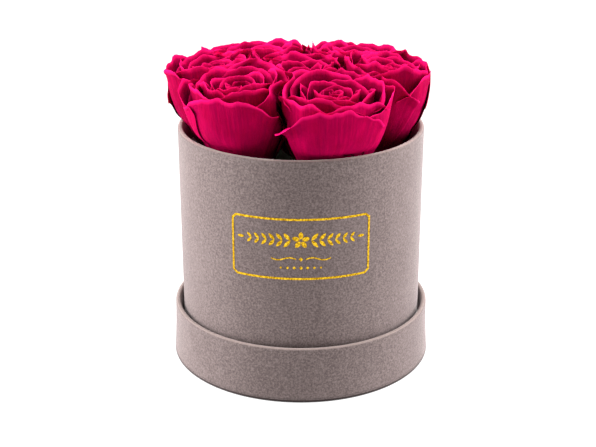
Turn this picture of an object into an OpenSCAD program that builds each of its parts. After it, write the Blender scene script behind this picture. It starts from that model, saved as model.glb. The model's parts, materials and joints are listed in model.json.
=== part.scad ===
// Round keepsake flower box: a suede-covered board box that stands in its own upturned lid,
// filled with seven long-life rose heads on picks, pushed into a block of dry foam.
// +Z is up. The origin is the middle of the face that rests on the table.

/* [Box] */
// Outside diameter of the covered box
box_d = 140; // [120:1:180]
// Height of the covered box, from its underside to its rim
box_h = 136.3; // [115:0.1:180]

/* [Lid] */
// Outside height of the lid
lid_h = 32.5; // [20:0.5:50]
// Gap all round between the box and the inside of the lid
lid_gap = 1.9; // [0.4:0.1:3]
// How much further out the cover stands at the lid's closed end than at its mouth
lid_flare = 1.5; // [0:0.1:2]
// Height of the seam between the lid's top cover and its side cover
lid_seam_h = 2.4; // [1.8:0.1:4]

/* [Board and coverings] */
// Thickness of the grey board in every wall, base and top
board_t = 1.8; // [1.2:0.1:4]
// Thickness of the suede cloth
suede_t = 0.6; // [0.3:0.1:1.2]
// Thickness of the lining paper
lining_t = 0.3; // [0.1:0.1:0.6]
// How far the suede turns in over a rim, and under the base
turn_in = 15; // [5:1:18]

/* [Foil print] */
// Width of the foil frame, measured round the box
foil_w = 78; // [60:1:90]
// Height of the foil frame
foil_h = 35.2; // [25:0.1:45]
// Height of the middle of the frame above the box's underside
foil_mid = 86.9; // [75:0.1:95]
// Width of the frame's line
foil_line = 1.2; // [0.6:0.1:2]
// Size of the corners clipped off the frame
foil_clip = 2.2; // [1:0.1:4]
// Thickness of the foil
foil_t = 0.15; // [0.1:0.05:0.3]

/* [Roses] */
// Height of a rose head, from its calyx to its top
bloom_h = 54; // [44:1:66]
// Height of the calyx under a head
calyx_h = 8; // [6:0.5:12]
// How far the outer roses lean outwards, in degrees
rose_lean = 7; // [3:1:10]
// Diameter of a pick
pick_d = 3.2; // [2:0.1:5]
// Length of a pick below the calyx
pick_l = 72; // [50:1:88]
// Gap between two neighbouring heads
rose_gap = 0.8; // [0.6:0.1:2]

/* [Foam] */
// Gap between the foam block and the lining
foam_gap = 0.5; // [0.2:0.1:2]
// Gap between a pick and the hole that it has made in the foam
pick_gap = 0.08; // [0.05:0.01:0.2]

/* [Hidden] */
// One row for each rose: its direction from the front, how far the middle of its top is inside
// the box's rim, its radius, and how high its top stands above the rim.
CENTRE_ROSE = [0, 0, 29, 35];
OUTER_ROSES = [
  [21, 18, 31, 31],
  [88, 18, 28, 35],
  [138, 18, 31, 32],
  [-143, 18, 31, 32],
  [-95, 18, 28, 34],
  [-43, 19, 30, 33]
];
ROSES = concat([CENTRE_ROSE], OUTER_ROSES);
ROSE_NAMES = ["centre", "front", "right", "back_right", "back_left", "left", "front_left"];

$fn = 96;
CUT = 400;

// Radii, from the box's cover inwards and outwards
box_r = box_d / 2;
box_board_r = box_r - suede_t;
box_inner_r = box_board_r - board_t;
box_mouth_r = box_inner_r - suede_t;
lid_mouth_r = box_r + lid_gap;
lid_inner_r = lid_mouth_r + suede_t;
lid_board_r = lid_inner_r + board_t;
lid_r = lid_board_r + suede_t;

// Rounding of a covered rim's two edges, and of the board's edges under the cloth
rim_round = 0.42 * (board_t + 2 * suede_t);
board_round = rim_round - suede_t;

// Heights, from the table up
lid_board_z = suede_t;
lid_floor_z = lid_board_z + board_t;
box_z = lid_floor_z + lining_t;
box_board_z = box_z + suede_t;
box_floor_z = box_board_z + board_t;
rim_z = box_z + box_h;
foil_z = box_z + foil_mid;
lowest_rise = min([for (rose = ROSES) rose[3]]);
foam_top_z = rim_z + lowest_rise - bloom_h - calyx_h - 1.5;

// Degrees round the box for a distance along its surface
function round_box(length) = length / box_r * 180 / PI;

function arc(centre, r, from, to, steps = 8) =
  [for (i = [0:steps]) let (a = from + (to - from) * i / steps) centre + r * [cos(a), sin(a)]];

// The board of a wall: a tube with its upper edges rounded
module wall_board(outer_r, z0, z1) {
  inner_r = outer_r - board_t;
  round_z = z1 - rim_round;
  rotate_extrude()
    polygon(concat(
      [[inner_r, z0], [outer_r, z0]],
      arc([outer_r - board_round, round_z], board_round, 0, 90),
      arc([inner_r + board_round, round_z], board_round, 90, 180)
    ));
}

// The suede over a wall's rim: up the outside path, over the board's rounded edge and in
module rim_cover(outside, outer_r, z0, z1) {
  board_outer_r = outer_r - suede_t;
  board_inner_r = board_outer_r - board_t;
  inner_r = board_inner_r - suede_t;
  outer_middle = [outer_r - rim_round, z1 - rim_round];
  inner_middle = [inner_r + rim_round, z1 - rim_round];
  rotate_extrude()
    polygon(concat(
      outside,
      arc(outer_middle, rim_round, 0, 90),
      arc(inner_middle, rim_round, 90, 180),
      [[inner_r, z1 - turn_in], [board_inner_r, z1 - turn_in]],
      arc(inner_middle, board_round, 180, 90),
      arc(outer_middle, board_round, 90, 0),
      [[board_outer_r, z0]]
    ));
}

module disc(r, z, t) {
  translate([0, 0, z]) cylinder(r = r, h = t);
}

module band(r_in, r_out, z0, z1) {
  rotate_extrude() translate([r_in, z0]) square([r_out - r_in, z1 - z0]);
}

// Radius of the lid's outside at a height, flaring towards the closed end
function lid_side_r(z) = lid_r + lid_flare * pow(1 - z / lid_h, 2);

module lid_top_cover() {
  edge = 1.2;
  lip = 0.3;
  seam_r = lid_side_r(lid_seam_h);
  foot_r = lid_side_r(edge);
  color([0.6, 0.53, 0.52])
    rotate_extrude()
      polygon(concat(
        [[0, 0]],
        arc([foot_r - edge, edge], edge, -90, 0),
        arc([seam_r - lip, lid_seam_h - lip], lip, 0, 90, 4),
        [[lid_board_r, lid_seam_h], [lid_board_r, lid_board_z], [0, lid_board_z]]
      ));
}

module lid_top_board() {
  color([0.55, 0.52, 0.48]) disc(lid_inner_r, lid_board_z, board_t);
}

module lid_wall_board() {
  color([0.55, 0.52, 0.48]) wall_board(lid_board_r, lid_board_z, lid_h);
}

module lid_side_cover() {
  lip = 0.3;
  seam_z = lid_seam_h + 0.15;
  straight_z = lid_h - rim_round;
  seam_r = lid_side_r(seam_z + lip);
  side = [for (i = [1:8])
    let (z = seam_z + lip + (straight_z - seam_z - lip) * i / 9) [lid_side_r(z), z]];
  color([0.6, 0.53, 0.52])
    rim_cover(
      concat([[lid_board_r, seam_z]], arc([seam_r - lip, seam_z + lip], lip, -90, 0, 4), side),
      lid_r, seam_z, lid_h
    );
}

module lid_lining_band() {
  color([0.93, 0.91, 0.87])
    band(lid_inner_r - lining_t, lid_inner_r, lid_floor_z, lid_h - turn_in);
}

module lid_lining_disc() {
  color([0.93, 0.91, 0.87]) disc(lid_inner_r - lining_t, lid_floor_z, lining_t);
}

module box_base_cover() {
  color([0.93, 0.91, 0.87]) disc(box_board_r - turn_in, box_z, suede_t);
}

module box_base_board() {
  color([0.55, 0.52, 0.48]) disc(box_inner_r, box_board_z, board_t);
}

module box_wall_board() {
  color([0.55, 0.52, 0.48]) wall_board(box_board_r, box_board_z, rim_z);
}

module box_side_cover() {
  hem_r = box_board_r - turn_in;
  edge = 0.6;
  hem = [[hem_r, box_board_z], [hem_r, box_z]];
  foot = arc([box_r - edge, box_z + edge], edge, -90, 0, 4);
  color([0.6, 0.53, 0.52]) rim_cover(concat(hem, foot), box_r, box_board_z, rim_z);
}

module box_lining_band() {
  color([0.93, 0.91, 0.87])
    band(box_inner_r - lining_t, box_inner_r, box_floor_z, rim_z - turn_in);
}

module box_lining_disc() {
  color([0.93, 0.91, 0.87]) disc(box_inner_r - lining_t, box_floor_z, lining_t);
}

// The skin of foil on the front of the box that the children, drawn flat, stand over
module foil_print() {
  intersection() {
    band(box_r, box_r + foil_t, foil_z - foil_h, foil_z + foil_h);
    children();
  }
}

// Places a flat drawing on the box's front, at a distance round from the middle and a height
module on_front(along, up) {
  rotate([0, 0, round_box(along)])
    translate([0, 0, foil_z + up])
      rotate([90, 0, 0]) translate([0, 0, box_r / 2]) linear_extrude(box_r) children();
}

module foil_frame() {
  half_angle = round_box(foil_w / 2);
  x = box_r * sin(half_angle);
  y = foil_h / 2;
  side_line = foil_line * cos(half_angle);
  color([0.85, 0.65, 0.13]) foil_print() on_front(0, 0) difference() {
    clipped_plate(x, y, foil_clip);
    clipped_plate(x - side_line, y - foil_line, foil_clip - foil_line / 2);
  }
}

// A plate from -x to x and from -y to y, with its corners cut off
module clipped_plate(x, y, clip) {
  polygon([
    [-x, clip - y], [clip - x, -y], [x - clip, -y], [x, clip - y],
    [x, y - clip], [x - clip, y], [clip - x, y], [-x, y - clip]
  ]);
}

// A pointed leaf, from its foot at the origin along +X
module leaf(length, width) {
  r = (length * length / 4 + width * width / 4) / width;
  intersection() {
    translate([length / 2, r - width / 2]) circle(r);
    translate([length / 2, width / 2 - r]) circle(r);
  }
}

module foil_garland() {
  pairs = 6;
  pitch = 4.3;
  first = 5.6;
  up = 5.2;
  color([0.85, 0.65, 0.13]) foil_print() union() {
    for (turn = [0:4]) on_front(0, up) rotate(90 + 72 * turn) translate([0.7, 0]) leaf(4.2, 2.6);
    for (side = [-1, 1], i = [0:pairs - 1])
      on_front(side * (first + i * pitch), up)
        for (turn = [-48, 48])
          rotate(side > 0 ? turn : 180 + turn) leaf(5.4 - 0.35 * i, 2 - 0.1 * i);
    for (side = [-1, 1])
      on_front(side * (first + pairs * pitch), up)
        rotate(side > 0 ? 0 : 180) leaf(4, 1.6);
  }
}

module foil_flourish() {
  up = -5.6;
  reach = 16;
  gap = 2.6;
  line = 0.75;
  steps = 12;
  wave = [for (i = [0:steps]) let (x = gap + (reach - gap) * i / steps)
    [x, 0.8 * sin(360 * (x - gap) / (reach - gap)) + 0.02 * (x - gap)]];
  stroke = concat(
    [for (p = wave) p + [0, line / 2]],
    [for (i = [steps:-1:0]) wave[i] - [0, line / 2]]
  );
  color([0.85, 0.65, 0.13]) foil_print() union() {
    on_front(0, up) for (side = [0, 1]) mirror([side, 0]) polygon(stroke);
    on_front(0, up) rotate(45) square(1.7, center = true);
    for (i = [-3:3]) on_front(i * 3.6, up - 5) rotate(45) square(1.5 - 0.16 * abs(i), center = true);
  }
}

module foam_block() {
  z0 = box_floor_z + lining_t;
  color([0.32, 0.42, 0.25])
    difference() {
      disc(box_inner_r - lining_t - foam_gap, z0, foam_top_z - z0);
      for (rose = ROSES) at_rose(rose) pick_shape(pick_d / 2 + pick_gap, pick_gap, CUT / 4);
    }
}

// Where a rose stands: the middle of its top, with Z along its pick
function reach(rose) = rose == CENTRE_ROSE ? 0 : box_mouth_r - rose[1];
function lean(rose) = rose == CENTRE_ROSE ? 0 : rose_lean;
function spot(rose) = reach(rose) * [sin(rose[0]), -cos(rose[0])];

module at_rose(rose) {
  rotate([0, 0, rose[0]])
    translate([0, -reach(rose), rim_z + rose[3]])
      rotate([lean(rose), 0, 0]) children();
}

// A rose head's radius, as a share of its widest, at a share of its height
function bloom_share(t) = 0.2 + 0.8 * pow(sin(90 * t), 0.8);

module bloom_shape(r) {
  widest = 0.86;
  shoulder = (1 - widest) * bloom_h;
  waist = [for (i = [0:10]) let (t = i / 10)
    [r * bloom_share(t), -bloom_h + widest * bloom_h * t]];
  crown = arc([r - shoulder, -shoulder], shoulder, 0, 80, 5);
  rotate_extrude()
    polygon(concat([[0, -bloom_h]], waist, [for (i = [1:5]) crown[i]], [[0, 0.3]]));
}

// Everything on the far side of the upright plane between two neighbouring heads
module beyond(rose, other) {
  step = spot(other) - spot(rose);
  apart = norm(step);
  share = apart / 2 + (rose[2] * rose[2] - other[2] * other[2]) / (2 * apart);
  translate(concat(spot(rose), 0))
    rotate([0, 0, atan2(step[1], step[0])])
      translate([share - rose_gap / 2, -CUT / 2, 0]) cube([CUT, CUT, CUT]);
}

// The room that the box leaves for a head: leaning in below the rim, spreading above it
module head_room() {
  clear = 1;
  neck_r = box_mouth_r - clear;
  drop = bloom_h;
  rotate_extrude()
    polygon([
      [0, rim_z - drop], [neck_r - drop * tan(rose_lean + 1), rim_z - drop],
      [neck_r, rim_z + 0.2], [box_r + 2.5, rim_z + 4.5],
      [box_r + 8, rim_z + 20], [box_r + 8, rim_z + bloom_h], [0, rim_z + bloom_h]
    ]);
}

module rose_bloom(rose) {
  color([0.86, 0.02, 0.27])
    difference() {
      intersection() {
        at_rose(rose) bloom_shape(rose[2]);
        head_room();
      }
      for (other = ROSES) if (other != rose) beyond(rose, other);
    }
}

// The green cup under a head, with five sepals that follow the head's underside
module rose_calyx(rose) {
  cup_r = rose[2] * bloom_share(0);
  neck_r = pick_d / 2 + 1;
  sepal_t = 0.8;
  top = 0.1;
  color([0.36, 0.45, 0.2]) at_rose(rose) translate([0, 0, -bloom_h]) {
    rotate_extrude()
      polygon(concat(
        [[0, -calyx_h], [neck_r, -calyx_h]],
        [for (i = [1:6]) let (t = i / 6) [neck_r + (cup_r - neck_r) * sin(90 * t), -calyx_h * (1 - t)]],
        [[0, 0]]
      ));
    intersection() {
      rotate_extrude()
        polygon(concat(
          [[cup_r - 2.5, -sepal_t - 0.6]],
          [for (i = [0:4]) let (t = top * i / 4)
            [rose[2] * bloom_share(t) + 0.6, 0.86 * bloom_h * t - sepal_t]],
          [for (i = [4:-1:0]) let (t = top * i / 4)
            [rose[2] * bloom_share(t), 0.86 * bloom_h * t - 0.02]]
        ));
      translate([0, 0, -calyx_h]) linear_extrude(2 * calyx_h) sepal_star(rose[2] * bloom_share(top));
    }
  }
}

module sepal_star(r) {
  polygon([for (i = [0:9]) let (a = 36 * i) (i % 2 == 0 ? r : 0.5 * r) * [cos(a), sin(a)]]);
}

// A pick's outline below its calyx, drawn thicker and longer to make its hole
module pick_shape(r, deeper, above) {
  tip = 8;
  top = -bloom_h - calyx_h;
  rotate_extrude()
    polygon([
      [0, top - pick_l - deeper], [r, top - pick_l - deeper + tip], [r, top + above], [0, top + above]
    ]);
}

module rose_pick(rose) {
  color([0.75, 0.62, 0.4]) at_rose(rose) pick_shape(pick_d / 2, 0, 0);
}

lid_top_cover();
lid_top_board();
lid_wall_board();
lid_side_cover();
lid_lining_band();
lid_lining_disc();
box_base_cover();
box_base_board();
box_wall_board();
box_side_cover();
box_lining_band();
box_lining_disc();
foil_frame();
foil_garland();
foil_flourish();
foam_block();
for (i = [0:6]) {
  rose_bloom(ROSES[i]);
  rose_calyx(ROSES[i]);
  rose_pick(ROSES[i]);
}
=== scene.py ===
"""Looks of a round suede flower box: petals, cloth, foil, board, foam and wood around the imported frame."""
import json
import math

import bpy
import numpy as np
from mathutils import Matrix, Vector


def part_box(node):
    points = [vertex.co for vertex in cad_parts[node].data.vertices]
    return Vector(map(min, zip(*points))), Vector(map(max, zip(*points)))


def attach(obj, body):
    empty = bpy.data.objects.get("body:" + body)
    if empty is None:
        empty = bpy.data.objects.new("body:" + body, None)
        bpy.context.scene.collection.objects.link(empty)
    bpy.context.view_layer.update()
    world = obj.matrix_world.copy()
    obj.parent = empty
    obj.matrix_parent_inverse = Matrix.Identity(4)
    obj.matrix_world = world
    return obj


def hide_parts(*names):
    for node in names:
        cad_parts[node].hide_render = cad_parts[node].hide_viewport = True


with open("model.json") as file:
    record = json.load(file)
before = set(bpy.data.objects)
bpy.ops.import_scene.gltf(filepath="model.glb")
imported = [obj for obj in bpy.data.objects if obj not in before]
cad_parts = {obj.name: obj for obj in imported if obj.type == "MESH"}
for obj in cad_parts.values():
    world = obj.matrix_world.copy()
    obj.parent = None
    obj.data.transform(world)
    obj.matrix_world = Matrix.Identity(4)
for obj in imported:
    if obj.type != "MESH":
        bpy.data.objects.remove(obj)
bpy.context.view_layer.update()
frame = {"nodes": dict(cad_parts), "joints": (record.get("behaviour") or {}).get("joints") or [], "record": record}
MM = 0.001


# ---------------------------------------------------------------- camera, floor and lights

def add_camera():
    """A 74 mm lens in front of the box, looking 21.9 degrees down at a point below its middle."""
    pitch = 0.3823
    distance = 0.7229
    target = Vector((0, 0, 0.0694))
    data = bpy.data.cameras.new("camera")
    data.lens = 73.87
    data.sensor_width = 36
    data.shift_x = -0.0049
    data.shift_y = 0.0208
    data.clip_start = 0.01
    camera = bpy.data.objects.new("camera", data)
    camera.location = target + distance * Vector((0, -math.cos(pitch), math.sin(pitch)))
    camera.rotation_euler = (math.pi / 2 - pitch, 0, 0)
    bpy.context.scene.collection.objects.link(camera)
    bpy.context.scene.camera = camera


def add_area_light(name, place, size, power):
    """A white soft box that looks at the middle of the object."""
    data = bpy.data.lights.new(name, "AREA")
    data.shape = "RECTANGLE"
    data.size, data.size_y = size
    data.energy = power
    light = bpy.data.objects.new(name, data)
    light.location = place
    middle = Vector((0, 0, 0.09))
    aim = middle - Vector(place)
    light.rotation_euler = aim.to_track_quat("-Z", "Y").to_euler()
    light.visible_camera = False
    bpy.context.scene.collection.objects.link(light)


def add_lights():
    add_area_light("left_box", (-0.9, 0.1, 0.3), (0.6, 0.8), 24.5)
    add_area_light("right_box", (0.9, 0.1, 0.3), (0.6, 0.8), 19)
    add_area_light("top_box", (0.1, 0.0, 1.1), (0.45, 0.45), 8)
    world = bpy.data.worlds.new("white_room")
    world.use_nodes = True
    background = world.node_tree.nodes["Background"]
    background.inputs["Color"].default_value = (1, 1, 1, 1)
    background.inputs["Strength"].default_value = 0.7
    bpy.context.scene.world = world
    bpy.context.scene.view_settings.view_transform = "Standard"


def add_floor():
    """A wide white table top that glows a little, so that it shows no shadow edge."""
    half = 3.0
    mesh = bpy.data.meshes.new("floor")
    corners = [(-half, -half, 0), (half, -half, 0), (half, half, 0), (-half, half, 0)]
    mesh.from_pydata(corners, [], [(0, 1, 2, 3)])
    floor = bpy.data.objects.new("floor", mesh)
    bpy.context.scene.collection.objects.link(floor)
    material = bpy.data.materials.new("floor_white")
    material.use_nodes = True
    shader = material.node_tree.nodes["Principled BSDF"]
    shader.inputs["Base Color"].default_value = (0.2, 0.2, 0.2, 1)
    shader.inputs["Roughness"].default_value = 0.9
    shader.inputs["Emission Color"].default_value = (1, 1, 1, 1)
    shader.inputs["Emission Strength"].default_value = 0.9
    mesh.materials.append(material)


# ---------------------------------------------------------------- materials

class Nodes:
    """A short way to write a material's node tree."""

    def __init__(self, name, roughness, **sockets):
        self.material = bpy.data.materials.new(name)
        self.material.use_nodes = True
        self.tree = self.material.node_tree
        self.shader = self.tree.nodes["Principled BSDF"]
        self.shader.inputs["Roughness"].default_value = roughness
        for socket, value in sockets.items():
            self.shader.inputs[socket.replace("_", " ")].default_value = value

    def add(self, kind, **settings):
        node = self.tree.nodes.new(kind)
        for key, value in settings.items():
            setattr(node, key, value)
        return node

    def link(self, output, socket):
        self.tree.links.new(output, socket)

    def place(self, scale=(1, 1, 1), kind="Object"):
        """Coordinates in the object's own metres, or its UV map, stretched by scale."""
        coordinates = self.add("ShaderNodeTexCoord")
        mapping = self.add("ShaderNodeMapping")
        mapping.inputs["Scale"].default_value = scale
        self.link(coordinates.outputs[kind], mapping.inputs["Vector"])
        return mapping.outputs["Vector"]

    def noise(self, vector, scale, detail=3.0, roughness=0.5, distortion=0.0):
        node = self.add("ShaderNodeTexNoise")
        node.inputs["Scale"].default_value = scale
        node.inputs["Detail"].default_value = detail
        node.inputs["Roughness"].default_value = roughness
        node.inputs["Distortion"].default_value = distortion
        self.link(vector, node.inputs["Vector"])
        return node.outputs["Fac"]

    def ramp(self, value, *stops):
        """A colour ramp through (position, colour) stops."""
        node = self.add("ShaderNodeValToRGB")
        elements = node.color_ramp.elements
        while len(elements) < len(stops):
            elements.new(0.5)
        for element, (position, colour) in zip(elements, stops):
            element.position = position
            element.color = (*colour, 1)
        self.link(value, node.inputs["Fac"])
        return node.outputs["Color"]

    def mix(self, factor, a, b, blend="MIX"):
        node = self.add("ShaderNodeMix", data_type="RGBA", blend_type=blend)
        for socket, value in ((0, factor), (6, a), (7, b)):
            if isinstance(value, bpy.types.NodeSocket):
                self.link(value, node.inputs[socket])
            elif isinstance(value, tuple):
                node.inputs[socket].default_value = (*value, 1)
            else:
                node.inputs[socket].default_value = value
        return node.outputs[2]

    def math(self, operation, a, b=0.0):
        node = self.add("ShaderNodeMath", operation=operation)
        for socket, value in enumerate((a, b)):
            if isinstance(value, bpy.types.NodeSocket):
                self.link(value, node.inputs[socket])
            else:
                node.inputs[socket].default_value = value
        return node.outputs[0]

    def attribute(self, name):
        return self.add("ShaderNodeAttribute", attribute_name=name).outputs["Fac"]

    def colour(self, output):
        self.link(output, self.shader.inputs["Base Color"])

    def rough(self, output):
        self.link(output, self.shader.inputs["Roughness"])

    def bump(self, height, strength, distance):
        node = self.add("ShaderNodeBump")
        node.inputs["Strength"].default_value = strength
        node.inputs["Distance"].default_value = distance
        self.link(height, node.inputs["Height"])
        previous = self.shader.inputs["Normal"].links
        if previous:
            self.link(previous[0].from_socket, node.inputs["Normal"])
        self.link(node.outputs["Normal"], self.shader.inputs["Normal"])


def suede(name, rim_z, foot=None):
    """Brushed microsuede: a fine mottled nap, pale at a low angle, paler at a rim where it is partly worn and
    partly given a painted highlight, and with a painted dark shade where it turns under at the foot, when the
    foot's box is given."""
    m = Nodes(name, 0.95, Sheen_Weight=0.55, Sheen_Roughness=0.35)
    m.shader.inputs["Sheen Tint"].default_value = (0.95, 0.86, 0.86, 1)
    m.shader.inputs["Specular IOR Level"].default_value = 0.1
    where = m.place()
    mottle = m.noise(where, 900, 4, 0.75)
    brushed = m.noise(m.place((1, 1, 0.35)), 60, 3, 0.5, 0.6)
    dark, mid, pale = (0.085, 0.062, 0.061), (0.153, 0.116, 0.112), (0.246, 0.190, 0.184)
    # The rim's pale tone is partly wear and partly a painted highlight; the foot's dark tone is painted shade.
    wear_and_highlight_tone, foot_shade_tone = (0.42, 0.33, 0.30), (0.04, 0.03, 0.03)
    wear_and_highlight_depth, wear_and_highlight_rate, most_wear_and_highlight = 0.6 * MM, 1.2 / MM, 0.5
    foot_shade_height, foot_rounding = 1.9 * MM, 1.2 * MM
    nap = m.ramp(mottle, (0.36, dark), (0.5, mid), (0.64, pale))
    strokes = m.ramp(brushed, (0.3, (0.13, 0.103, 0.1)), (0.7, (0.2, 0.163, 0.159)))
    cloth = m.mix(0.25, nap, strokes)
    place = m.add("ShaderNodeSeparateXYZ")
    m.link(where, place.inputs["Vector"])
    # Paler just below the rim: partly wear, partly a painted highlight.
    wear_and_highlight = m.math("MULTIPLY", m.math("SUBTRACT", place.outputs["Z"], rim_z - wear_and_highlight_depth), wear_and_highlight_rate)
    wear_and_highlight = m.math("MINIMUM", m.math("MAXIMUM", wear_and_highlight, 0.0), most_wear_and_highlight)
    cloth = m.mix(wear_and_highlight, cloth, wear_and_highlight_tone)
    # Painted shade: a dark band round the side just above the foot.
    if foot:
        low, high = foot
        squares = [m.math("POWER", place.outputs[axis], 2.0) for axis in ("X", "Y")]
        from_axis = m.math("SQRT", m.math("ADD", *squares))
        near_foot = m.math("LESS_THAN", place.outputs["Z"], low.z + foot_shade_height)
        on_side = m.math("GREATER_THAN", from_axis, high.x - foot_rounding)
        cloth = m.mix(m.math("MULTIPLY", near_foot, on_side), cloth, foot_shade_tone)
    m.colour(cloth)
    m.bump(mottle, 0.35, 0.0003)
    m.bump(m.noise(where, 2600, 2, 0.6), 0.3, 0.0001)
    return m.material


def gold_foil():
    """Hot-stamped foil: bright metal with the cloth's nap showing through a little."""
    m = Nodes("gold_foil", 0.3, Metallic=1.0)
    where = m.place()
    patches = m.noise(where, 900, 3, 0.6)
    dark, mid, pale = (0.33, 0.17, 0.006), (0.6, 0.35, 0.01), (0.9, 0.57, 0.035)
    m.colour(m.ramp(patches, (0.38, dark), (0.5, mid), (0.64, pale)))
    m.rough(m.ramp(patches, (0.3, (0.45, 0.45, 0.45)), (0.7, (0.22, 0.22, 0.22))))
    m.bump(m.noise(where, 1500, 2, 0.5), 0.25, 0.0001)
    return m.material


def grey_board():
    """Bookbinding board: pale and dark fibres pressed flat."""
    m = Nodes("grey_board", 0.9)
    fibres = m.noise(m.place((1, 1, 3)), 700, 4, 0.7)
    m.colour(m.ramp(fibres, (0.3, (0.26, 0.24, 0.21)), (0.7, (0.42, 0.39, 0.34))))
    m.bump(fibres, 0.3, 0.0002)
    return m.material


def lining_paper():
    """Off-white paper with a faint fibre."""
    m = Nodes("lining_paper", 0.75)
    fibres = m.noise(m.place(), 900, 4, 0.6)
    m.colour(m.ramp(fibres, (0.3, (0.78, 0.75, 0.7)), (0.7, (0.88, 0.86, 0.81))))
    m.bump(fibres, 0.2, 0.0001)
    return m.material


def dry_foam():
    """Floral foam: fine open cells, with a powdery surface."""
    m = Nodes("dry_foam", 0.95)
    where = m.place()
    cells = m.add("ShaderNodeTexVoronoi")
    cells.inputs["Scale"].default_value = 1100
    m.link(where, cells.inputs["Vector"])
    tone = m.noise(where, 120, 3, 0.6)
    base = m.ramp(tone, (0.3, (0.018, 0.034, 0.014)), (0.7, (0.035, 0.056, 0.024)))
    walls = m.ramp(cells.outputs["Distance"], (0.1, (0.006, 0.012, 0.005)), (0.6, (0.04, 0.065, 0.028)))
    m.colour(m.mix(0.5, base, walls))
    m.bump(cells.outputs["Distance"], 0.6, 0.0004)
    return m.material


def bamboo():
    """Split bamboo: grain along the pick."""
    m = Nodes("bamboo", 0.6)
    grain = m.noise(m.place((1, 1, 0.06)), 1600, 3, 0.6)
    m.colour(m.ramp(grain, (0.3, (0.42, 0.27, 0.11)), (0.7, (0.68, 0.5, 0.27))))
    m.bump(grain, 0.3, 0.0001)
    return m.material


def sepal_green():
    """Dried green sepals, with ribs."""
    m = Nodes("sepal_green", 0.7)
    ribs = m.noise(m.place((1, 1, 0.15)), 900, 3, 0.6)
    m.colour(m.ramp(ribs, (0.3, (0.07, 0.11, 0.02)), (0.7, (0.2, 0.26, 0.07))))
    m.bump(ribs, 0.4, 0.0002)
    return m.material


def petal_pink():
    """Dyed petals: fine veins from base to rim, each petal its own tone, a painted highlight at its thin rim, and
    painted shade at its foot and deep on its inner face.
    """
    m = Nodes("petal_pink", 0.8, Sheen_Weight=0.04, Sheen_Roughness=0.45)
    m.shader.inputs["Sheen Tint"].default_value = (1.0, 0.0, 0.25, 1)
    m.shader.inputs["Specular IOR Level"].default_value = 0.01
    veins = m.noise(m.place((1, 0.08, 1), "UV"), 34, 6, 0.7, 0.5)
    blotch = m.noise(m.place(), 130, 3, 0.55)
    tone = m.math("ADD", m.math("MULTIPLY", m.attribute("tone"), 0.5), m.math("MULTIPLY", blotch, 0.5))
    dark, mid, pale = (0.27, 0.0, 0.026), (0.37, 0.0, 0.045), (0.5, 0.0, 0.068)
    # The rim tone is a painted highlight along each petal's thin rim.
    vein_tone, rim_highlight_tone = (0.17, 0.0, 0.034), (0.86, 0.006, 0.14)
    base = m.ramp(tone, (0.25, dark), (0.5, mid), (0.78, pale))
    veined = m.mix(m.math("MULTIPLY", m.math("SUBTRACT", veins, 0.38), 2.2), base, vein_tone)
    # Painted shade: each petal darkened at its foot and deep on its inner face, from its lit attribute.
    shade = m.ramp(m.attribute("lit"), (0.0, (0.06, 0.06, 0.06)), (1.0, (1, 1, 1)))
    deep = m.mix(1.0, veined, shade, "MULTIPLY")
    # Painted highlight: the last steps towards the rim turn to the paler rim tone.
    rim = m.ramp(m.attribute("rim"), (0.0, (0, 0, 0)), (0.95, (0, 0, 0)), (0.99, (1, 1, 1)))
    m.colour(m.mix(m.math("MULTIPLY", rim, 0.9), deep, rim_highlight_tone))
    m.bump(veins, 0.6, 0.0006)
    m.bump(m.noise(m.place((1, 1, 0.5)), 260, 3, 0.6, 0.8), 0.5, 0.0008)
    m.bump(m.noise(m.place(), 900, 3, 0.6), 0.15, 0.0001)
    return m.material


MATERIALS = {
    "suede": suede("suede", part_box("box_side_cover")[1].z),
    "gold_foil": gold_foil(),
    "grey_board": grey_board(),
    "lining_paper": lining_paper(),
    "dry_foam": dry_foam(),
    "pick_wood": bamboo(),
    "calyx": sepal_green(),
    "petals": petal_pink(),
}


def dress_cad_nodes():
    """Every CAD node gets its slot's material, and the lid's suede its own rim, partly worn and partly a painted
    highlight, and its own painted shade at the foot.
    """
    for part in frame["record"]["subparts"]:
        node = frame["nodes"][part["node"]]
        node.data.materials.clear()
        node.data.materials.append(MATERIALS[part["material_slot"]])
    lid_suede = suede("lid_suede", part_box("lid_side_cover")[1].z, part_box("lid_top_cover"))
    for name in ("lid_side_cover", "lid_top_cover"):
        frame["nodes"][name].data.materials[0] = lid_suede


# ---------------------------------------------------------------- roses

# How each head differs: its widest radius in mm, a seed, how far it has opened, how much deeper
# than its rims its heart lies in mm, its turn, and how far it can lean out over the box in mm.
ROSES = {
    "centre_rose": dict(radius=29, seed=11, opened=0.75, deep=6, turn=20, lean=9),
    "front_rose": dict(radius=32, seed=5, opened=1.0, deep=0, turn=-25, lean=9),
    "right_rose": dict(radius=29, seed=23, opened=0.9, deep=2, turn=70, lean=5),
    "back_right_rose": dict(radius=34, seed=31, opened=0.8, deep=3, turn=10, lean=5),
    "back_left_rose": dict(radius=34, seed=47, opened=0.8, deep=6, turn=130, lean=9),
    "left_rose": dict(radius=30, seed=53, opened=0.9, deep=1, turn=200, lean=9),
    "front_left_rose": dict(radius=30, seed=61, opened=0.85, deep=1, turn=220, lean=9),
}

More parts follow.
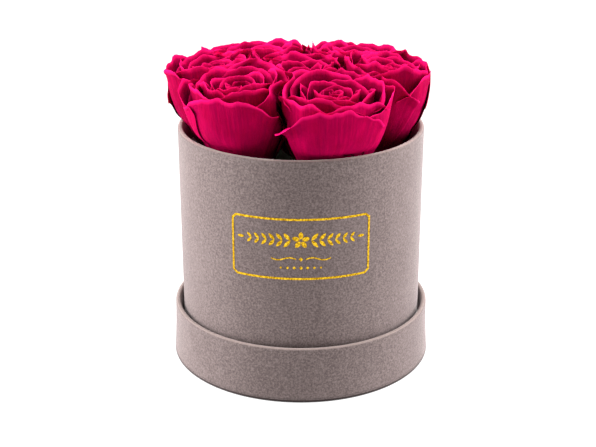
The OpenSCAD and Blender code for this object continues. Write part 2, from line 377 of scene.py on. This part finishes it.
# The rings of petals in a head, from the heart out: how many, the share of the head's radius at
# their rims, how far the rims stand below the head's top in mm, the half-angle that a petal
# wraps, the roll of its rim in degrees, the size of its ruffles in mm, and the share of its
# length, from its foot, that its neighbours hide and that gets painted shade on its outer face.
RINGS = [
    dict(count=3, rim=(0.05, 0.14), drop=(5.0, 4.5), wrap=130, roll=(-10, 10), ruffle=0.3, hidden=0.72),
    dict(count=4, rim=(0.20, 0.34), drop=(4.0, 3.0), wrap=95, roll=(0, 15), ruffle=0.6, hidden=0.72),
    dict(count=5, rim=(0.41, 0.58), drop=(2.8, 1.8), wrap=76, roll=(5, 28), ruffle=1.1, hidden=0.7),
    dict(count=5, rim=(0.64, 0.80), drop=(1.2, 0.5), wrap=64, roll=(15, 50), ruffle=1.6, hidden=0.55),
    dict(count=6, rim=(0.84, 1.03), drop=(0.8, 5.0), wrap=56, roll=(15, 80), ruffle=2.1, hidden=0.2),
]
# The share of a petal's length over which its inner face gets painted shade, and how light its
# hidden outer face and the foot of its inner face stay under that painted shade.
DARK_INSIDE = 0.6, 0.72
HIDDEN_LIGHT = 0.45
# The angle from one petal to the next, in degrees, and how far it strays.
GOLDEN_ANGLE, STRAY = 137.5, 12
# The height of a calyx along its rose, in metres.
CALYX_HEIGHT = 8 * MM
# A petal's thickness in mm, and its points across and along. The steps are finer at its rim.
PETAL_THICKNESS = 0.35
ACROSS, ALONG = 60, 26
STEPS_ALONG = 1 - (1 - np.linspace(0, 1, ALONG)) ** 1.4


def smoothstep(x):
    """0 below 0, 1 above 1, and a smooth step between."""
    x = np.clip(x, 0, 1)
    return x * x * (3 - 2 * x)


def waves(rng, count, low, high):
    """A random smooth curve: a sum of count sines of falling size, with pitches from low to high."""
    parts = [(rng.uniform(low, high), rng.uniform(0, 2 * math.pi), 1 / (1 + 0.35 * k)) for k in range(count)]
    total = sum(size for _, _, size in parts)
    return lambda x: sum(size * np.sin(pitch * x + phase) for pitch, phase, size in parts) / total


def petal_profile(base, rim, height, roll, curl, length, v):
    """Radius and height along one line of a petal: up the cup, then round the rolled rim."""
    tiny = 1e-6
    share = np.linspace(0, 1, 60)
    radius = base + (rim - base) * np.sin(share * math.pi / 2) ** 0.8
    up = height * share
    along = np.concatenate([[0], np.cumsum(np.hypot(np.diff(radius), np.diff(up)))])
    cup = min(max(length - curl, 0.2 * length), along[-1])
    s = (cup + curl) * v
    r = np.interp(s, along, radius)
    z = np.interp(s, along, up)
    last = np.searchsorted(along, cup) - 1
    angle = math.atan2(radius[last + 1] - radius[last], up[last + 1] - up[last])
    cup_r, cup_z = np.interp(cup, along, radius), np.interp(cup, along, up)
    over = s > cup
    rolled = s[over] - cup
    bend = math.radians(roll) / max(curl, tiny)
    if abs(bend) > tiny:
        r[over] = cup_r + (np.cos(angle) - np.cos(angle + bend * rolled)) / bend
        z[over] = cup_z + (np.sin(angle + bend * rolled) - np.sin(angle)) / bend
    return r, z


def ridges(rng, pitches):
    """A crumpled curve, smooth hollows that meet in sharp crests. Whole pitches close round a head."""
    parts = [(pitch / 2, rng.uniform(0, math.pi), 1 / (1 + 0.5 * k)) for k, pitch in enumerate(pitches)]
    total = sum(size for _, _, size in parts)

    def height(x):
        return sum(size * (1 - 2 * np.abs(np.sin(pitch * x + phase))) for pitch, phase, size in parts) / total

    return height


def petal(rng, head, ring, share, azimuth):
    """One petal's middle surface, as a grid of points in the head's own millimetres."""
    rim = head["radius"] * np.interp(share, [0, 1], ring["rim"]) * (1 + rng.uniform(-0.005, 0.005))
    drop = np.interp(share, [0, 1], ring["drop"]) + rng.uniform(-1.0, 1.0)
    drop += head["deep"] * max(0, 1 - 2.2 * rim / head["radius"])
    roll = np.interp(share, [0, 1], ring["roll"]) * head["opened"] * rng.uniform(0.3, 1.2)
    wrap = math.radians(ring["wrap"] * rng.uniform(0.9, 1.1))
    top = head["height"] - drop
    # The radius at the calyx, the length that rolls over at the rim, and the length of the cup.
    base = 2.0 + 5.0 * rim / head["radius"]
    curl = min(0.22 * rim + 2.0, 8.0) * rng.uniform(0.8, 1.2)
    body = math.hypot(rim - base, top) * 1.04
    # The petal's own ruffles, its swells, its tip, two folds of its rim, and its pleats.
    crumple, edge = ridges(rng, rng.uniform(3, 14, 3)), ridges(rng, rng.uniform(4, 24, 4))
    swell = waves(rng, 3, 1.5, 4)
    tip = rng.uniform(-0.35, 0.35)
    folds = rng.uniform(-0.9, -0.5), rng.uniform(0.5, 0.9)
    fold_roll = rng.uniform(0, 90, 2) * head["opened"] * (rim > 0.4 * head["radius"])
    pleats = waves(rng, 4, 5, 16)
    grid = np.zeros((ACROSS, ALONG, 3))
    v = STEPS_ALONG
    for i, u in enumerate(np.linspace(-1, 1, ACROSS)):
        # Shorter at its sides, longest at its tip, and more rolled away from the middle.
        side = abs(u - 0.4 * tip)
        length = (body + 0.3 * curl) * (1 - 0.15 * side**3 + 0.025 * max(0, 1 - 4 * abs(u - tip)))
        length += 0.55 * ring["ruffle"] * edge(u)
        tip_roll = roll * (0.3 + 0.9 * smoothstep(side / 0.85)) * (1 + 0.4 * swell(2 * u))
        for at, most in zip(folds, fold_roll):
            tip_roll += most * max(0, 1 - 3.2 * abs(u - at))
        r, z = petal_profile(base, rim, top, tip_roll, curl * (0.75 + 0.5 * side), length, v)
        # The ruffles grow towards the rim, and the pleats fade there.
        grow = smoothstep((v - 0.55) / 0.45)
        angle = math.radians(azimuth) + wrap * u * (0.5 + 0.5 * np.sin(v * math.pi / 2))
        r = r + ring["ruffle"] * grow * (0.8 * head["crumple"](angle + 0.2 * v) + 0.3 * crumple(u + 0.2 * v))
        r = r + 0.012 * rim * (head["pleats"](angle) + 0.3 * pleats(u)) * (1 - 0.6 * v)
        z = z + 0.5 * ring["ruffle"] * grow * swell(3 * u + v)
        grid[i] = np.stack([r * np.cos(angle), r * np.sin(angle), z], -1)
    # Its usual height, leaving out the columns near its sides, becomes the one it should have.
    ends = 8
    grid[..., 2] *= top / np.median(grid[ends:-ends, :, 2].max(axis=1))
    return grid


def shell(grid, thickness):
    """Closed thin shell round a grid: its points, its quads and each point's UV."""
    du = np.gradient(grid, axis=0)
    dv = np.gradient(grid, axis=1)
    normal = np.cross(du, dv)
    normal /= np.linalg.norm(normal, axis=2, keepdims=True) + 1e-12
    n, m = grid.shape[:2]
    v = STEPS_ALONG[None, :]
    u = np.linspace(0, 1, n)[:, None]
    thin = 0.5 * thickness * (1 - 0.55 * np.maximum(v, np.abs(2 * u - 1)) ** 6)[..., None]
    points = np.concatenate([(grid + normal * thin).reshape(-1, 3), (grid - normal * thin).reshape(-1, 3)])
    index = np.arange(n * m).reshape(n, m)
    quad = np.stack([index[:-1, :-1], index[1:, :-1], index[1:, 1:], index[:-1, 1:]], -1).reshape(-1, 4)
    back = quad[:, ::-1] + n * m
    edge = np.concatenate([index[:, 0], index[-1, 1:], index[-2::-1, -1], index[0, -2:0:-1]])
    following = np.roll(edge, -1)
    sides = np.stack([following, edge, edge + n * m, following + n * m], -1)
    uv = np.stack(np.broadcast_arrays(u, v), -1).reshape(-1, 2)
    return points, np.concatenate([quad, back, sides]), np.concatenate([uv, uv])


def rose_place(name):
    """The foot and the top of a head and its direction, from the CAD's pick, calyx and bloom."""
    joint = next(j for j in frame["joints"] if j["child"] == name)
    axis = Vector(joint["axis"]).normalized()
    low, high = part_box(name + "_pick")
    on_axis = (low + high) / 2
    foot_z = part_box(name + "_calyx")[0].z + CALYX_HEIGHT
    top_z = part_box(name + "_bloom")[1].z
    foot = on_axis + axis * ((foot_z - on_axis.z) / axis.z)
    top = on_axis + axis * ((top_z - on_axis.z) / axis.z)
    return foot, top, axis


PLACES = {name: rose_place(name) for name in ROSES}


def squeeze(over, give):
    """Brings any overshoot back within give, and keeps the layers in their order."""
    return over / (1 + over / give)


def press_together(points, name):
    """Flattens a head where its neighbours press on it, along a wavy border that the two share."""
    _, top, _ = PLACES[name]
    reach, give, gap = 12 * MM, 3 * MM, 0.2 * MM
    for other in ROSES:
        if other == name:
            continue
        step = np.array(PLACES[other][1] - top)[:2]
        apart = np.linalg.norm(step)
        mine, theirs = ROSES[name]["radius"], ROSES[other]["radius"]
        if apart > (mine + theirs) * MM + reach:
            continue
        toward = step / apart
        border = apart / 2 + (mine**2 - theirs**2) * MM * MM / (2 * apart)
        side = 1 if name < other else -1
        slow_wave = 2.5 * MM * np.sin(points @ (140, 140, 190))
        quick_wave = 1.0 * MM * np.sin(points @ (-300, 300, 420))
        limit = border + side * (slow_wave + quick_wave) - give - gap
        distance = (points[:, :2] - np.array(top)[:2]) @ toward
        over = np.maximum(distance - limit, 0)
        points[:, :2] -= np.outer(over - squeeze(over, give), toward)
    return points


def stay_in_box(points, lean):
    """Keeps the petals inside the wall below the rim, and lets them lean out over it above."""
    wall_and_room, narrowest, give = 3.9 * MM, 20 * MM, 5 * MM
    taper_below, spread_above, lean_rise = 0.14, 0.12, 6 * MM
    tiny = 1e-9
    cover_low, cover_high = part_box("box_side_cover")
    inside = (cover_high.x - cover_low.x) / 2 - wall_and_room
    above = points[:, 2] - cover_high.z
    leaning = inside + lean * MM * np.tanh(above / lean_rise) + spread_above * above
    limit = np.maximum(np.where(above < 0, inside + taper_below * above, leaning), narrowest)
    radius = np.linalg.norm(points[:, :2], axis=1)
    start = limit - give
    over = np.maximum(radius - start, 0)
    wanted = start + squeeze(over, give)
    factor = np.where(over > 0, wanted / np.maximum(radius, tiny), 1)
    points[:, :2] *= factor[:, None]
    return points


def light_on(uv, hidden):
    """Painted shade: how much light each point of a petal keeps in its colour, little at its foot and deep on its
    inner face.
    """
    outside = np.arange(len(uv)) < len(uv) // 2
    light = smoothstep((uv[:, 1] - np.where(outside, hidden, DARK_INSIDE[1])) / 0.25)
    foot_light = np.where(outside, 1, smoothstep((DARK_INSIDE[0] - uv[:, 1]) / 0.15))
    return np.maximum(light, HIDDEN_LIGHT * foot_light)


def make_petals(head, rng):
    """All petals of a head in its own millimetres: points, quads, UVs, light and tones."""
    points, quads, uvs, lit, tones, start = [], [], [], [], [], 0
    azimuth = head["turn"]
    for ring in RINGS:
        for k in range(ring["count"]):
            azimuth += GOLDEN_ANGLE + rng.uniform(-STRAY, STRAY)
            grid = petal(rng, head, ring, k / max(ring["count"] - 1, 1), azimuth)
            petal_points, petal_quads, uv = shell(grid, PETAL_THICKNESS)
            points.append(petal_points)
            quads.append(petal_quads + start)
            uvs.append(uv)
            lit.append(light_on(uv, ring["hidden"]))
            tones.append(np.full(len(petal_points), rng.uniform(0.1, 0.9)))
            start += len(petal_points)
    return [np.concatenate(rows) for rows in (points, quads, uvs, lit, tones)]


def make_rose(name):
    """A head of petals on its calyx, in place of the plain bloom."""
    head = dict(ROSES[name])
    foot, top, axis = PLACES[name]
    head["height"] = (top - foot).length / MM
    rng = np.random.default_rng(head["seed"])
    head["crumple"], head["pleats"] = ridges(rng, (3, 5, 8)), ridges(rng, (7, 16, 27))
    points, quads, uv, lit, tones = make_petals(head, rng)
    turn = np.array(Vector((0, 0, 1)).rotation_difference(axis).to_matrix())
    points = (points * MM) @ turn.T + np.array(foot)
    points = stay_in_box(press_together(points, name), head["lean"])
    rose = mesh_piece(name + "_petals", points, quads, MATERIALS["petals"])
    add_uv(rose, uv)
    add_attribute(rose, "rim", uv[:, 1])
    add_attribute(rose, "lit", lit)
    add_attribute(rose, "tone", tones)
    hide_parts(name + "_bloom")
    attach(rose, name)


def mesh_piece(name, points, faces, material):
    """A smooth mesh object in the scene."""
    mesh = bpy.data.meshes.new(name)
    mesh.from_pydata(points.tolist(), [], faces.tolist())
    mesh.polygons.foreach_set("use_smooth", np.ones(len(mesh.polygons), bool))
    mesh.materials.append(material)
    mesh.update()
    piece = bpy.data.objects.new(name, mesh)
    bpy.context.scene.collection.objects.link(piece)
    return piece


def add_uv(piece, uv):
    layer = piece.data.uv_layers.new(name="UVMap")
    corner = np.zeros(len(piece.data.loops), np.int32)
    piece.data.loops.foreach_get("vertex_index", corner)
    layer.data.foreach_set("uv", uv[corner].astype(np.float32).ravel())


def add_attribute(piece, name, values):
    attribute = piece.data.attributes.new(name, "FLOAT", "POINT")
    attribute.data.foreach_set("value", np.asarray(values, np.float32))


# ---------------------------------------------------------------- build

add_camera()
add_lights()
add_floor()
dress_cad_nodes()
for rose_name in ROSES:
    make_rose(rose_name)
